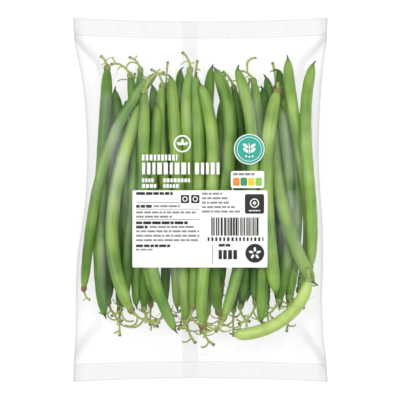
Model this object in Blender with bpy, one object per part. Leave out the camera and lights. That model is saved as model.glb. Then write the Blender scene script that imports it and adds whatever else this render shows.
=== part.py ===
"""A bundle of fine green beans sealed flat in a clear pillow bag, lying on the bag's back.

Metres, +Z up, +Y towards the bag's top seal. The origin is on the surface, under the middle of the bag.
"""

import math
import random

import bmesh
import bpy
import numpy as np

MM = 0.001

# The bag: a tube of film with a crimped seal across each end and one seam down its back.
BAG_WIDTH = 160 * MM  # across a flat end seal
BAG_LENGTH = 229 * MM  # from corner to corner, down one side
BAG_DEPTH = 24.0 * MM  # the least depth; the beans push the front out further where they are piled up
WALL = 0.6 * MM
SEAL_LENGTH = 10.5 * MM
SEAL_THICKNESS = 1.0 * MM
SEAL_HEIGHT = 5.5 * MM  # an end seal's middle above the surface
SEAL_DROOP = 1.2 * MM  # how far the seal's outer edge hangs below that
END_CURVE = 2.4 * MM  # how much longer the bag is at its corners than down its middle
SEAL_START = BAG_LENGTH / 2 - END_CURVE - SEAL_LENGTH
RAMP = 42 * MM  # the stretch over which the flat seal opens to the full depth
EDGE_HEIGHT = 12.5 * MM  # the side folds' height above the surface
TOP_ROUNDNESS = 2.5
UNDERSIDE_ROUNDNESS = 4.2
FLAT_SINK = 0.8 * MM  # how much of the underside's curve is pressed flat on the surface
SEAM_LEFT, SEAM_RIGHT = -11.6 * MM, -1.6 * MM
SEAM_STEP = 0.3 * MM  # how far the seam stands out, but for where it is pressed flat
VENT_RADIUS = 2.0 * MM
VENT_X, VENT_Y = 42 * MM, 58 * MM
FILM_ROWS = 23
FILM_SHARES = (0.2, 0.4, 0.58, 0.72, 0.84, 0.93, 0.98, 1.0)
FILM_ROUNDS = 240

# The side folds' distance from the bag's middle line, at each height up the bag: (y, left, right).
SIDE_FOLDS = (
    (-114.5, 80.0, 80.0),
    (-101.0, 79.6, 79.0),
    (-84.0, 78.4, 77.0),
    (-60.0, 78.2, 76.2),
    (-40.0, 77.4, 76.8),
    (-20.0, 74.8, 76.6),
    (0.0, 72.2, 75.4),
    (30.0, 71.0, 74.0),
    (56.0, 72.2, 74.8),
    (74.0, 74.0, 76.0),
    (92.0, 77.6, 78.0),
    (101.0, 79.4, 79.4),
    (114.5, 80.0, 80.0),
)

# A pod's outline: its radius along the pod, as shares of its length and of its full radius.
POD_OUTLINE = (
    (0.02, 0.62),
    (0.065, 0.85),
    (0.15, 0.96),
    (0.30, 1.00),
    (0.47, 0.98),
    (0.64, 1.00),
    (0.80, 0.98),
    (0.90, 0.95),
    (0.96, 0.84),
    (1.00, 0.50),
)
POD_SIDES = 8
STALK_CUT_RADIUS = 1.0 * MM
STALK_RADIUS = 0.75 * MM
CAP_RADIUS = 1.7 * MM
CAP_LENGTH = 2.2 * MM
TAIL_LENGTH = 4.5 * MM
TAIL_RADIUS = 0.8 * MM
TAIL_TIP_RADIUS = 0.35 * MM

CLEARANCE = 0.4 * MM  # between two beans
FILM_CLEARANCE = 1.1 * MM  # between a bean and the film's inner face
SAMPLE_STEP = 1.3 * MM
BEND_RADIUS = 200 * MM  # the tightest sag of a bean between the beans that carry it
LAYING_ROUNDS = 160

# The beans, in the order in which they are laid, from the back of the bag to its front.
# Each is (width, stalk length, stalk turn, tail turn, four points down the pod from its stalk end to
# its tail end), in millimetres and degrees. A turn is to the left, seen along the pod's end outwards.
LAID_BEANS = (
    ("low_1", 6.8, 14, 58, 35, (-57.8, -63.9), (-59.4, -25.2), (-56.6, 21.7), (-54.0, 58.6)),
    ("low_2", 6.8, 13, -72, -30, (-47.2, -62.0), (-46.0, -22.0), (-47.8, 24.8), (-53.4, 66.7)),
    ("low_3", 7.0, 10, 78, 25, (-37.8, 81.0), (-37.8, 43.6), (-38.4, 0.0), (-40.3, -64.5)),
    ("low_4", 6.8, 10, 65, -60, (-12.8, -57.7), (-18.0, -22.0), (-14.4, 43.6), (-12.8, 79.5)),
    ("low_5", 6.8, 8, -52, 20, (13.4, -52.7), (12.8, -12.7), (13.4, 24.8), (14.7, 62.3)),
    ("low_6", 7.2, 11, 91, 30, (25.3, -66.4), (36.0, -25.2), (44.7, 31.0), (41.6, 74.8)),
    ("low_7", 6.8, 10, -65, 120, (52.8, -53.9), (50.3, -12.7), (52.8, 37.3), (49.0, 80.0)),
    ("mid_1", 7.9, 7, 58, 20, (-58.4, 82.3), (-60.4, 37.3), (-63.0, -9.5), (-60.3, -70.2)),
    ("mid_2", 7.0, 14, 98, -20, (-44.0, 77.3), (-40.6, 37.3), (-43.4, -15.8), (-47.8, -62.7)),
    ("mid_3", 7.2, 14, 78, 25, (-35.3, -67.7), (-31.6, -18.9), (-27.8, 31.0), (-29.7, 69.2)),
    ("mid_4", 7.0, 12, 84, 20, (-24.0, 71.0), (-25.3, 40.5), (-19.5, -9.5), (-14.7, -65.8)),
    ("mid_5", 7.2, 16, 58, 30, (-27.8, -61.4), (-33.4, -36.0), (-31.6, 6.0), (-27.2, 57.3)),
    ("mid_6", 6.8, 11, -39, -25, (4.7, -70.2), (4.0, -28.3), (3.4, 24.8), (6.6, 81.0)),
    ("mid_7", 7.2, 11, 46, 20, (21.0, 69.8), (25.0, 43.6), (28.4, 0.0), (26.8, -61.7)),
    ("mid_8", 7.0, 17, -78, 30, (34.4, -63.9), (35.6, -18.9), (38.4, 31.0), (39.0, 67.3)),
    ("mid_9", 7.4, 11, 72, 25, (56.0, -60.2), (59.7, -18.9), (59.7, 24.8), (52.2, 62.3)),
    ("mid_10", 7.0, 12, -58, 35, (49.0, -62.7), (55.3, -18.9), (54.0, 24.8), (49.7, 57.3)),
    ("high_1", 7.5, 11, 65, 25, (-6.6, 81.0), (-8.8, 56.0), (-6.6, 6.0), (-7.8, -64.5)),
    ("high_2", 7.9, 14, 39, 55, (-9.0, -75.2), (-11.4, -31.4), (-15.3, 31.0), (-18.4, 74.8)),
    ("high_3", 7.5, 16, -58, -25, (-4.7, -66.4), (-2.2, -25.2), (-0.9, 31.0), (-2.8, 75.5)),
    ("high_4", 8.6, 17, 78, 20, (-43.4, -68.5), (-54.6, -31.4), (-51.6, 12.3), (-35.3, 63.6)),
    ("high_5", 8.8, 11, -46, 25, (11.6, -70.2), (8.8, -38.9), (17.0, 18.6), (10.3, 79.8)),
    ("high_6", 7.3, 12, 104, 25, (33.4, 73.6), (36.4, 43.6), (38.8, 0.0), (37.8, -74.0)),
    ("high_7", 7.7, 11, 65, 10, (62.2, -56.4), (65.4, 12.3), (57.8, 54.8), (54.7, 86.0)),
    ("high_8", 7.3, 13, -32, -30, (68.6, -42.0), (68.6, 0.0), (65.6, 56.0), (69.8, 83.0)),
    ("high_9", 8.3, 5, 26, 35, (44.7, 49.8), (47.8, 12.3), (56.6, -22.7), (69.6, -50.2)),
    ("top_1", 6.6, 7, 65, -60, (-73.0, -55.2), (-67.6, -10.8), (-55.3, 36.7), (-28.6, 77.6)),
    ("top_2", 7.3, 17, -91, 10, (-34.7, 67.3), (-35.6, 18.6), (-31.6, -34.5), (-16.6, -79.5)),
    ("top_3", 7.9, 13, 58, 30, (0.9, -78.3), (3.8, -25.2), (7.8, 31.0), (0.9, 69.8)),
    ("top_4", 7.3, 17, -84, -60, (14.7, -73.3), (25.3, -36.4), (33.0, 21.7), (23.4, 80.0)),
    ("top_5", 8.8, 4, 26, 10, (47.8, 67.3), (42.2, 37.3), (42.0, -15.8), (46.6, -55.8)),
    ("top_6", 7.9, 6, 26, -20, (67.0, -50.5), (61.4, -64.4), (44.7, -78.6), (22.2, -84.0)),
)

# The row against the bag's back, hidden but for its gaps: short beans side by side, drawn from a seed.
BACK_ROW_COUNT = 14
BACK_ROW_FIRST_X = -58.0
BACK_ROW_PITCH = 8.9
BACK_ROW_SHORT_END, BACK_ROW_LONG_END = 62.0, 66.0
BACK_ROW_WIDTHS = (6.2, 7.0)
BACK_ROW_STALKS = (10, 15)
BACK_ROW_TURN = 15
BACK_ROW_SEED = 11

BEAN_COLOURS = ((0.16, 0.33, 0.06), (0.28, 0.47, 0.10), (0.10, 0.23, 0.06))
FILM_COLOUR = (0.93, 0.95, 0.95)
FILM_ALPHA = 0.22


def clear_scene():
    for obj in list(bpy.data.objects):
        bpy.data.objects.remove(obj)


def make_material(name, colour, roughness, alpha=1.0):
    material = bpy.data.materials.new(name)
    material.use_nodes = True
    shader = material.node_tree.nodes["Principled BSDF"]
    shader.inputs["Base Color"].default_value = (*colour, 1.0)
    shader.inputs["Roughness"].default_value = roughness
    shader.inputs["Metallic"].default_value = 0.0
    shader.inputs["Alpha"].default_value = alpha
    return material


def add_object(name, bm, material):
    """Turns a bmesh into a named object, smooth but for its folds."""
    bmesh.ops.recalc_face_normals(bm, faces=bm.faces)
    mesh = bpy.data.meshes.new(name)
    bm.to_mesh(mesh)
    bm.free()
    mesh.materials.append(material)
    mesh.shade_smooth()
    mesh.set_sharp_from_angle(angle=math.radians(50))
    obj = bpy.data.objects.new(name, mesh)
    bpy.context.scene.collection.objects.link(obj)
    return obj


def fold_at(y):
    """The left and right side folds' distances from the middle line."""
    heights = [row[0] * MM for row in SIDE_FOLDS]
    left = np.interp(y, heights, [row[1] * MM for row in SIDE_FOLDS])
    right = np.interp(y, heights, [row[2] * MM for row in SIDE_FOLDS])
    return left, right


def opening_at(y):
    """How far the bag has opened from its flat seal, from 0 at a seal to 1 past the ramp."""
    share = np.clip((SEAL_START - np.abs(y)) / RAMP, 0.0, 1.0)
    return (1 - (1 - share) ** 2) ** 0.75


def share_across(x, y):
    """The place across the bag, from -1 at the left fold to 1 at the right one."""
    left, right = fold_at(y)
    return np.clip(np.where(x < 0, x / left, x / right), -1.0, 1.0)


def edge_height(y):
    """The height of the side folds."""
    return SEAL_HEIGHT + (EDGE_HEIGHT - SEAL_HEIGHT) * opening_at(y)


def underside(x, y):
    """The film's outer face below, pressed flat on the surface in the middle."""
    opened = opening_at(y)
    lowest = SEAL_HEIGHT * (1 - opened) - FLAT_SINK * opened
    arch = (1 - np.abs(share_across(x, y)) ** UNDERSIDE_ROUNDNESS) ** (1 / UNDERSIDE_ROUNDNESS)
    return np.maximum(edge_height(y) + (lowest - edge_height(y)) * arch, 0.0)


def topside(x, y):
    """The least height of the film's outer face above."""
    opened = opening_at(y)
    highest = SEAL_HEIGHT + (BAG_DEPTH - SEAL_HEIGHT) * opened
    arch = (1 - np.abs(share_across(x, y)) ** TOP_ROUNDNESS) ** (1 / TOP_ROUNDNESS)
    return edge_height(y) + (highest - edge_height(y)) * arch


def curve_through(points):
    """A smooth plan curve through four points, as a fine polyline."""
    points = np.array(points) * MM
    steps = np.linalg.norm(np.diff(points, axis=0), axis=1)
    at = np.concatenate([[0.0], np.cumsum(steps)]) / steps.sum()
    share = np.linspace(0.0, 1.0, 160)
    return np.stack([np.polyval(np.polyfit(at, points[:, k], 3), share) for k in (0, 1)], axis=1)


def arc_from(start, heading, length, turn):
    """A plan arc that leaves start along heading and turns to its left by turn degrees in all."""
    count = 12
    angles = heading + math.radians(turn) * (np.arange(count) + 0.5) / count
    steps = np.stack([np.cos(angles), np.sin(angles)], axis=1) * length / count
    return start + np.cumsum(steps, axis=0)


def bean_sections(pod_length, radius, stalk_length):
    """The stations along a bean, from the stalk's cut end, and the bean's radius at each."""
    tail = stalk_length + CAP_LENGTH + pod_length
    cap = (
        (0.0, STALK_CUT_RADIUS),
        (0.4 * stalk_length, STALK_RADIUS),
        (stalk_length, STALK_RADIUS * 1.15),
        (stalk_length + 0.35 * CAP_LENGTH, CAP_RADIUS),
    )
    pod = [(stalk_length + CAP_LENGTH + share * pod_length, full * radius) for share, full in POD_OUTLINE]
    end = ((tail + 0.5 * TAIL_LENGTH, TAIL_RADIUS), (tail + TAIL_LENGTH, TAIL_TIP_RADIUS))
    return np.array([*cap, *pod, *end]).T


def route_bean(width, stalk_length, stalk_turn, tail_turn, points):
    """A bean's ring centres in plan and its radius at each, from the stalk's cut end to the tail's tip."""
    pod = curve_through(points)
    out = pod[0] - pod[1]
    on = pod[-1] - pod[-2]
    stalk_run = stalk_length * MM + CAP_LENGTH
    stalk = arc_from(pod[0], math.atan2(out[1], out[0]), stalk_run, stalk_turn)
    tail = arc_from(pod[-1], math.atan2(on[1], on[0]), TAIL_LENGTH, tail_turn)
    line = np.concatenate([stalk[::-1], pod, tail])
    along = np.concatenate([[0.0], np.cumsum(np.linalg.norm(np.diff(line, axis=0), axis=1))])
    pod_length = along[-1] - stalk_run - TAIL_LENGTH
    stations, radii = bean_sections(pod_length, width * MM / 2, stalk_length * MM)
    centres = np.stack([np.interp(stations, along, line[:, k]) for k in (0, 1)], axis=1)
    return centres, radii


def sample_weights(centres):
    """For fine samples down the straight runs between rings, each ring's share in each sample."""
    rows = []
    for k, run in enumerate(np.linalg.norm(np.diff(centres, axis=0), axis=1)):
        count = max(1, math.ceil(run / SAMPLE_STEP))
        for share in np.arange(count) / count:
            row = np.zeros(len(centres))
            row[k], row[k + 1] = 1 - share, share
            rows.append(row)
    rows.append(np.eye(len(centres))[-1])
    return np.array(rows)


def height_over_film(plan, radii):
    """The lowest a bean's centre can lie, in the curved floor that the film's back makes."""
    lowest = np.zeros(len(plan))
    for angle in np.radians(np.arange(-75, 76, 15)):
        reach = radii + WALL + FILM_CLEARANCE
        x = plan[:, 0] + reach * math.sin(angle)
        ends = plan[:, 1] + np.sign(plan[:, 1]) * reach * 0.5
        lowest = np.maximum(lowest, underside(x, ends) + reach * math.cos(angle))
    return lowest


def height_over_beans(plan, radii, laid):
    """The lowest that a bean's centre can lie without cutting into the beans already laid."""
    lowest = np.full(len(plan), -1.0)
    for other_plan, other_heights, other_radii in laid:
        apart = np.linalg.norm(plan[:, None] - other_plan[None], axis=2)
        reach = radii[:, None] + other_radii[None] + CLEARANCE
        rise = np.sqrt(np.maximum(reach**2 - apart**2, 0.0))
        lowest = np.maximum(lowest, np.where(apart < reach, other_heights[None] + rise, -1.0).max(1))
    return lowest


def settle(centres, weights, lowest):
    """Ring heights of a springy bean that lies on what is under it and sags gently between."""
    runs = np.linalg.norm(np.diff(centres, axis=0), axis=1)
    before, after = runs[:-1], runs[1:]
    strength = 1 / (weights**2).sum(1)
    heights = weights.T @ lowest / weights.sum(0)
    for round_number in range(LAYING_ROUNDS):
        if round_number < LAYING_ROUNDS - 30:
            straight = (heights[:-2] * after + heights[2:] * before) / (before + after)
            heights[1:-1] = straight - before * after / (2 * BEND_RADIUS)
            heights[0] = heights[1] + (heights[1] - heights[2]) * before[0] / after[0] * 0.5
            heights[-1] = heights[-2] + (heights[-2] - heights[-3]) * after[-1] / before[-1] * 0.5
        short = np.maximum(lowest - weights @ heights, 0.0) * strength
        heights = heights + (weights * short[:, None]).max(0)
    return heights


def back_row():
    """The row against the bag's back, stalks turned up and down by turns."""
    draw = random.Random(BACK_ROW_SEED)
    rows = []
    for k in range(BACK_ROW_COUNT):
        middle = BACK_ROW_FIRST_X + k * BACK_ROW_PITCH
        side = -1 if k % 2 else 1
        stalk_y = side * (BACK_ROW_LONG_END + draw.uniform(-5, 5))
        tail_y = -side * (BACK_ROW_SHORT_END + draw.uniform(-5, 5))
        bow = draw.uniform(-2, 2)
        points = [
            (middle + draw.uniform(-2, 2), stalk_y),
            (middle + bow, 0.65 * stalk_y + 0.35 * tail_y),
            (middle + bow, 0.35 * stalk_y + 0.65 * tail_y),
            (middle + draw.uniform(-2, 2), tail_y),
        ]
        turns = (draw.uniform(-BACK_ROW_TURN, BACK_ROW_TURN), draw.uniform(-BACK_ROW_TURN, BACK_ROW_TURN))
        width, stalk_length = draw.uniform(*BACK_ROW_WIDTHS), draw.uniform(*BACK_ROW_STALKS)
        rows.append((f"back_{k + 1}", width, stalk_length, *turns, *points))
    return rows


def lay_beans():
    """Lays every bean in turn on those before it. Returns name, ring centres and ring radii of each."""
    beans, laid = [], []
    for name, width, stalk_length, stalk_turn, tail_turn, *points in [*back_row(), *LAID_BEANS]:
        centres, radii = route_bean(width, stalk_length, stalk_turn, tail_turn, points)
        weights = sample_weights(centres)
        plan, sample_radii = weights @ centres, weights @ radii
        floor = height_over_film(plan, sample_radii)
        heights = settle(centres, weights, np.maximum(floor, height_over_beans(plan, sample_radii, laid)))
        beans.append((name, np.column_stack([centres, heights]), radii))
        laid.append((plan, weights @ heights, sample_radii))
    return beans, laid


def make_bean(name, centres, radii, material):
    """One bean, its pod, cap, stalk and tail in one skin: rings drawn out one from another."""
    bm = bmesh.new()
    tangents = np.gradient(centres, axis=0)
    tangents /= np.linalg.norm(tangents, axis=1)[:, None]
    sides = np.cross(tangents, (0.0, 0.0, 1.0))
    sides /= np.linalg.norm(sides, axis=1)[:, None]
    ups = np.cross(sides, tangents)
    made = bmesh.ops.create_circle(bm, cap_ends=True, cap_tris=True, segments=POD_SIDES, radius=1.0)
    pole = next(v for v in made["verts"] if v.co.length < 0.5)
    ring = [v for v in made["verts"] if v is not pole]
    turns = [math.atan2(v.co.y, v.co.x) for v in ring]
    pole.co = centres[0]
    for k, centre in enumerate(centres):
        if k:
            edges = [e for e in {e for v in ring for e in v.link_edges} if all(v in ring for v in e.verts)]
            drawn = bmesh.ops.extrude_edge_only(bm, edges=edges)["geom"]
            new = [g for g in drawn if isinstance(g, bmesh.types.BMVert)]
            ring = [next(n for n in new if any(e.other_vert(n) is v for e in n.link_edges)) for v in ring]
        for vert, turn in zip(ring, turns):
            vert.co = centre + radii[k] * (math.cos(turn) * sides[k] + math.sin(turn) * ups[k])
    edges = [e for e in bm.edges if e.is_boundary]
    tip = bmesh.ops.create_vert(bm, co=centres[-1] + tangents[-1] * radii[-1] * 0.5)["vert"][0]
    for edge in edges:
        bm.faces.new((*edge.verts, tip))
    return add_object(name, bm, material)


def columns_across(y):
    """The x of each column of the film's grid at height y, with the back seam's edges among them."""
    left, right = fold_at(y)
    seam = (SEAM_LEFT - SEAM_STEP, SEAM_LEFT, SEAM_RIGHT, SEAM_RIGHT + SEAM_STEP)
    outwards = [-share * left for share in reversed(FILM_SHARES)]
    return np.array([*outwards, *seam, *(share * right for share in FILM_SHARES)])


def bend_at(x, y):
    """How far the film at x, y is drawn towards the nearer end, most at the bag's corners."""
    return np.sign(y) * END_CURVE * (x / (BAG_WIDTH / 2)) ** 2 * (y / (BAG_LENGTH / 2)) ** 2


def bean_crowns(laid):
    """Points that the front film must not lie below: over the crown and both shoulders of every bean."""
    points = []
    for plan, heights, radii in laid:
        cover = radii + WALL + FILM_CLEARANCE
        across = np.gradient(plan, axis=0)
        across = np.stack([-across[:, 1], across[:, 0]], axis=1)
        across /= np.linalg.norm(across, axis=1)[:, None]
        for angle in np.radians((-55, -25, 0, 25, 55)):
            spot = plan + across * (cover * math.sin(angle))[:, None]
            points.append(np.column_stack([spot, heights + cover * math.cos(angle)]))
    return np.concatenate(points)


def grid_places(points, rows):
    """For each point, the four grid corners round it and each corner's share in it."""
    plain_y = points[:, 1] - bend_at(points[:, 0], points[:, 1])
    row = np.clip(np.searchsorted(rows, plain_y) - 1, 0, len(rows) - 2)
    up = np.clip((plain_y - rows[row]) / (rows[row + 1] - rows[row]), 0.0, 1.0)
    column = np.zeros(len(points), dtype=int)
    along = np.zeros(len(points))
    for k, (x, y) in enumerate(zip(points[:, 0], plain_y)):
        columns = columns_across(y)
        column[k] = np.clip(np.searchsorted(columns, x) - 1, 0, len(columns) - 2)
        near, far = columns[column[k]], columns[column[k] + 1]
        along[k] = np.clip((x - near) / (far - near), 0.0, 1.0)
    corners = [(row, column), (row, column + 1), (row + 1, column), (row + 1, column + 1)]
    shares = [(1 - up) * (1 - along), (1 - up) * along, up * (1 - along), up * along]
    return corners, shares


def drape_front(xs, rows, least, laid):
    """Heights of the front film: drawn taut between the folds and the seals, over every bean."""
    points = bean_crowns(laid)
    corners, shares = grid_places(points, rows)
    strength = 1 / sum(share**2 for share in shares)
    front = least.copy()
    before_x, after_x = xs[1:-1, 1:-1] - xs[1:-1, :-2], xs[1:-1, 2:] - xs[1:-1, 1:-1]
    steps = np.diff(rows)[:, None]
    before_y, after_y = steps[:-1], steps[1:]
    for _ in range(FILM_ROUNDS):
        level_x = (front[1:-1, :-2] * after_x + front[1:-1, 2:] * before_x) / (before_x + after_x)
        level_y = (front[:-2, 1:-1] * after_y + front[2:, 1:-1] * before_y) / (before_y + after_y)
        front[1:-1, 1:-1] = np.maximum(least[1:-1, 1:-1], (level_x + level_y) / 2)
        for _ in range(3):
            there = sum(front[corner] * share for corner, share in zip(corners, shares))
            short = np.maximum(points[:, 2] - there, 0.0) * strength
            lift = np.zeros_like(front)
            for corner, share in zip(corners, shares):
                np.maximum.at(lift, corner, short * share)
            front[1:-1, 1:-1] += lift[1:-1, 1:-1]
        for edge in (len(FILM_SHARES), len(FILM_SHARES) + 2):
            front[:, edge : edge + 2] = front[:, edge : edge + 2].max(axis=1)[:, None]
    return front


def film_grids(laid):
    """The film's grid: x and bent y of every vertex, and the heights of its front and its back."""
    body = SEAL_START - 2.5 * MM
    steps = np.linspace(-1.0, 1.0, FILM_ROWS)
    rows = np.concatenate([[-SEAL_START], body * (steps + np.sin(steps * math.pi / 2)) / 2, [SEAL_START]])
    xs = np.array([columns_across(y) for y in rows])
    ys = np.repeat(rows[:, None], xs.shape[1], axis=1)
    least, back = topside(xs, ys), underside(xs, ys)
    seam = slice(len(FILM_SHARES) + 1, len(FILM_SHARES) + 3)
    back[:, seam] = np.maximum(back[:, seam] - SEAM_STEP, 0.0)
    least[0] = least[-1] = SEAL_HEIGHT + SEAL_THICKNESS / 2
    back[0] = back[-1] = SEAL_HEIGHT - SEAL_THICKNESS / 2
    front = drape_front(xs, rows, least, laid)
    return xs, ys + bend_at(xs, ys), front, back


def skin_of(xs, ys, front, back):
    """A closed skin: a front and a back that share both side folds, joined at both ends."""
    bm = bmesh.new()
    fold = (front[:, [0, -1]] + back[:, [0, -1]]) / 2
    grid = []
    for x, y, high, low, (left, right) in zip(xs, ys, front, back, fold):
        top = [bm.verts.new(point) for point in zip(x, y, (left, *high[1:-1], right))]
        under = [top[0], *(bm.verts.new(point) for point in zip(x[1:-1], y[1:-1], low[1:-1])), top[-1]]
        grid.append((top, under))
    for (top, under), (next_top, next_under) in zip(grid, grid[1:]):
        for k in range(len(top) - 1):
            bm.faces.new((top[k], top[k + 1], next_top[k + 1], next_top[k]))
            bm.faces.new((under[k], next_under[k], next_under[k + 1], under[k + 1]))
    for top, under in (grid[0], grid[-1]):
        for k in range(len(top) - 1):
            bm.faces.new(tuple(dict.fromkeys((top[k], under[k], under[k + 1], top[k + 1]))))
    return bm


def outer_skin(xs, ys, front, back):
    """The film's outer skin, with a flat seal drawn out at each end."""
    end_x = columns_across(BAG_LENGTH / 2)
    end_y = BAG_LENGTH / 2 - END_CURVE + bend_at(end_x, np.full(len(end_x), BAG_LENGTH / 2))
    seam = np.zeros(len(end_x))
    seam[len(FILM_SHARES) + 1 : len(FILM_SHARES) + 3] = SEAM_STEP
    middle = SEAL_HEIGHT - SEAL_DROOP
    high = np.full(len(end_x), middle + SEAL_THICKNESS / 2)
    low = np.full(len(end_x), middle - SEAL_THICKNESS / 2) - seam
    back = back.copy()
    back[0] -= seam
    back[-1] -= seam
    return skin_of(
        np.vstack([end_x, xs, end_x]),
        np.vstack([-end_y, ys, end_y]),
        np.vstack([high, front, high]),
        np.vstack([low, back, low]),
    )


def inner_skin(xs, ys, front, back):
    """The room inside the film, which ends short of both seals."""
    room_x = xs[1:-1] * (1 - 2 * WALL / BAG_WIDTH)
    room_x[:, len(FILM_SHARES) : len(FILM_SHARES) + 4] = xs[1:-1, len(FILM_SHARES) : len(FILM_SHARES) + 4]
    room_y = ys[1:-1].copy()
    room_y[0] += WALL
    room_y[-1] -= WALL
    floor = back[1:-1] + WALL
    floor[:, len(FILM_SHARES) + 1 : len(FILM_SHARES) + 3] += SEAM_STEP
    return skin_of(room_x, room_y, front[1:-1] - WALL, floor)


def apply_cut(obj, cutter):
    """Takes cutter out of obj and removes it."""
    cut = obj.modifiers.new("cut", "BOOLEAN")
    cut.operation = "DIFFERENCE"
    cut.solver = "EXACT"
    cut.object = cutter
    graph = bpy.context.evaluated_depsgraph_get()
    cleared = bpy.data.meshes.new_from_object(obj.evaluated_get(graph))
    obj.modifiers.clear()
    obj.data = cleared
    bpy.data.objects.remove(cutter)


def make_bag(laid, material):
    """The film: an outer skin with its seals, less the room inside and the vents through its back."""
    grids = film_grids(laid)
    bag = add_object("film_bag", outer_skin(*grids), material)
    apply_cut(bag, add_object("room_inside", inner_skin(*grids), material))
    for side_x in (-VENT_X, VENT_X):
        for side_y in (-VENT_Y, VENT_Y):
            bm = bmesh.new()
            bmesh.ops.create_cone(
                bm, cap_ends=True, segments=16, radius1=VENT_RADIUS, radius2=VENT_RADIUS, depth=6 * WALL
            )
            bmesh.ops.translate(bm, verts=bm.verts, vec=(side_x, side_y, 0.0))
            apply_cut(bag, add_object("vent_cutter", bm, material))
    return bag


def main():
    clear_scene()
    greens = [make_material(f"pod_green_{k + 1}", colour, 0.45) for k, colour in enumerate(BEAN_COLOURS)]
    film = make_material("clear_film", FILM_COLOUR, 0.12, FILM_ALPHA)
    beans, laid = lay_beans()
    for k, (name, centres, radii) in enumerate(beans):
        make_bean(f"bean_{name}", centres, radii, greens[k % len(greens)])
    make_bag(laid, film)


main()
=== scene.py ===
"""The look of a bundle of fine green beans sealed in a clear pillow bag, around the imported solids."""

import sys
import functools
import math
import random

import bmesh
import bpy
import numpy as np
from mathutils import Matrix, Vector
from mathutils.bvhtree import BVHTree


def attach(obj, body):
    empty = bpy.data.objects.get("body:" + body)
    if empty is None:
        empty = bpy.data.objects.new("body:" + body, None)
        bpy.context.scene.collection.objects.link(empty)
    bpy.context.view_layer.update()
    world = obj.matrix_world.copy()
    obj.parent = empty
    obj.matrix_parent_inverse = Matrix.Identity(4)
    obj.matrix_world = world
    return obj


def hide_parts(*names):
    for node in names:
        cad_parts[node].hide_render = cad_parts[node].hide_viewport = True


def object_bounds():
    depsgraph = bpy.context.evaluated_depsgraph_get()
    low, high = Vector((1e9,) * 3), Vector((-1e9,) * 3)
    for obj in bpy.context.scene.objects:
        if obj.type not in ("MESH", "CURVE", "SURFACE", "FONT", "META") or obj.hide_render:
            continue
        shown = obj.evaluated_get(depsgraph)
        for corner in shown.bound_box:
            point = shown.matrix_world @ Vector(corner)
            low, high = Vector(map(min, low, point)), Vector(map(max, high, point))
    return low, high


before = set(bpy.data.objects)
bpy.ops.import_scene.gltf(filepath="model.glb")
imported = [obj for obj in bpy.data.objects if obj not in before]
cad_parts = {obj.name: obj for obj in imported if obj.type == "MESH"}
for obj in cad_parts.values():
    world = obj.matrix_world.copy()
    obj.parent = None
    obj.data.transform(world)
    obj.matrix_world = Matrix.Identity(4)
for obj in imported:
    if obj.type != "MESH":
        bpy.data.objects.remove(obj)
CAD_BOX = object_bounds()

MM = 0.001
BODY = "root"

# The photograph's scale: metres to a pixel, and the pixel over the part's origin.
PIXEL = 0.625 * MM
ORIGIN_PIXEL = (200.5, 199.75)
IMAGE_SIDE = 400

# The bag, with the same outline and seals as its solid.
BAG_WIDTH, BAG_LENGTH = 160 * MM, 229 * MM
SEAL_LENGTH = 10.5 * MM
SEAL_HEIGHT, SEAL_DROOP = 5.5 * MM, 1.2 * MM
END_CURVE = 2.4 * MM
SEAL_START = BAG_LENGTH / 2 - END_CURVE - SEAL_LENGTH
RAMP = 42 * MM
LEAST_DEPTH = 24 * MM
EDGE_HEIGHT = 12.5 * MM
TOP_ROUNDNESS, UNDERSIDE_ROUNDNESS = 2.5, 4.2
FLAT_SINK = 0.8 * MM
SEAM_LEFT, SEAM_RIGHT = -11.6 * MM, -1.6 * MM
SEAM_STEP = 0.3 * MM
VENT_X, VENT_Y, VENT_RADIUS = 42 * MM, 58 * MM, 2 * MM
# The side folds: place along the bag, and how far left and right of its middle line they lie, in millimetres.
SIDE_FOLDS = (
    (-114.5, 80.0, 80.0),
    (-101.0, 79.6, 79.0),
    (-84.0, 78.4, 77.0),
    (-60.0, 78.2, 76.2),
    (-40.0, 77.4, 76.8),
    (-20.0, 74.8, 76.6),
    (0.0, 72.2, 75.4),
    (30.0, 71.0, 74.0),
    (56.0, 72.2, 74.8),
    (74.0, 74.0, 76.0),
    (92.0, 77.6, 78.0),
    (101.0, 79.4, 79.4),
    (114.5, 80.0, 80.0),
)

# How grey the film is, from 0, clear, to 1, and how hazy: the seals and seam are cloudier film, the rims,
# ribs, sides and folds get painted shade, and the haze patches are painted reflection.
SEAL_GREY, RIM_SHADE, RIB_SHADE, SEAM_GREY, SIDE_SHADE, FOLD_SHADE = 0.24, 0.20, 0.07, 0.50, 0.26, 0.55
SEAL_HAZE, REFLECTION_PATCHES, LEAST_HAZE = 0.03, 0.07, 0.003
RIB_PITCH = 1.7 * MM
# Creases from the corners into the bag: start and end in the photograph's pixels, width to the left and to
# the right in pixels, how grey as painted shade along the crease (also how deep it is dented), and the share
# that is lost along the way.
CREASES = (
    ((74.0, 36.0), (82.0, 48.0), 5.0, 1.6, 0.62, 0.0),
    ((82.0, 48.0), (97.0, 63.5), 6.5, 1.6, 0.62, 0.25),
    ((97.0, 63.5), (103.0, 88.0), 7.0, 2.0, 0.46, 1.0),
    ((327.5, 36.0), (316.5, 50.0), 2.2, 4.5, 0.66, 0.0),
    ((316.5, 50.0), (304.0, 62.0), 3.0, 6.0, 0.66, 0.45),
    ((304.0, 62.0), (299.0, 92.0), 3.0, 5.0, 0.36, 1.0),
    ((72.5, 359.0), (84.0, 341.0), 4.2, 4.2, 0.48, 0.0),
    ((84.0, 341.0), (103.0, 318.0), 5.2, 4.8, 0.48, 1.0),
    ((327.0, 366.0), (310.0, 339.0), 4.4, 3.6, 0.48, 0.0),
    ((310.0, 339.0), (295.0, 318.0), 6.2, 4.2, 0.48, 1.0),
)
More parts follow.
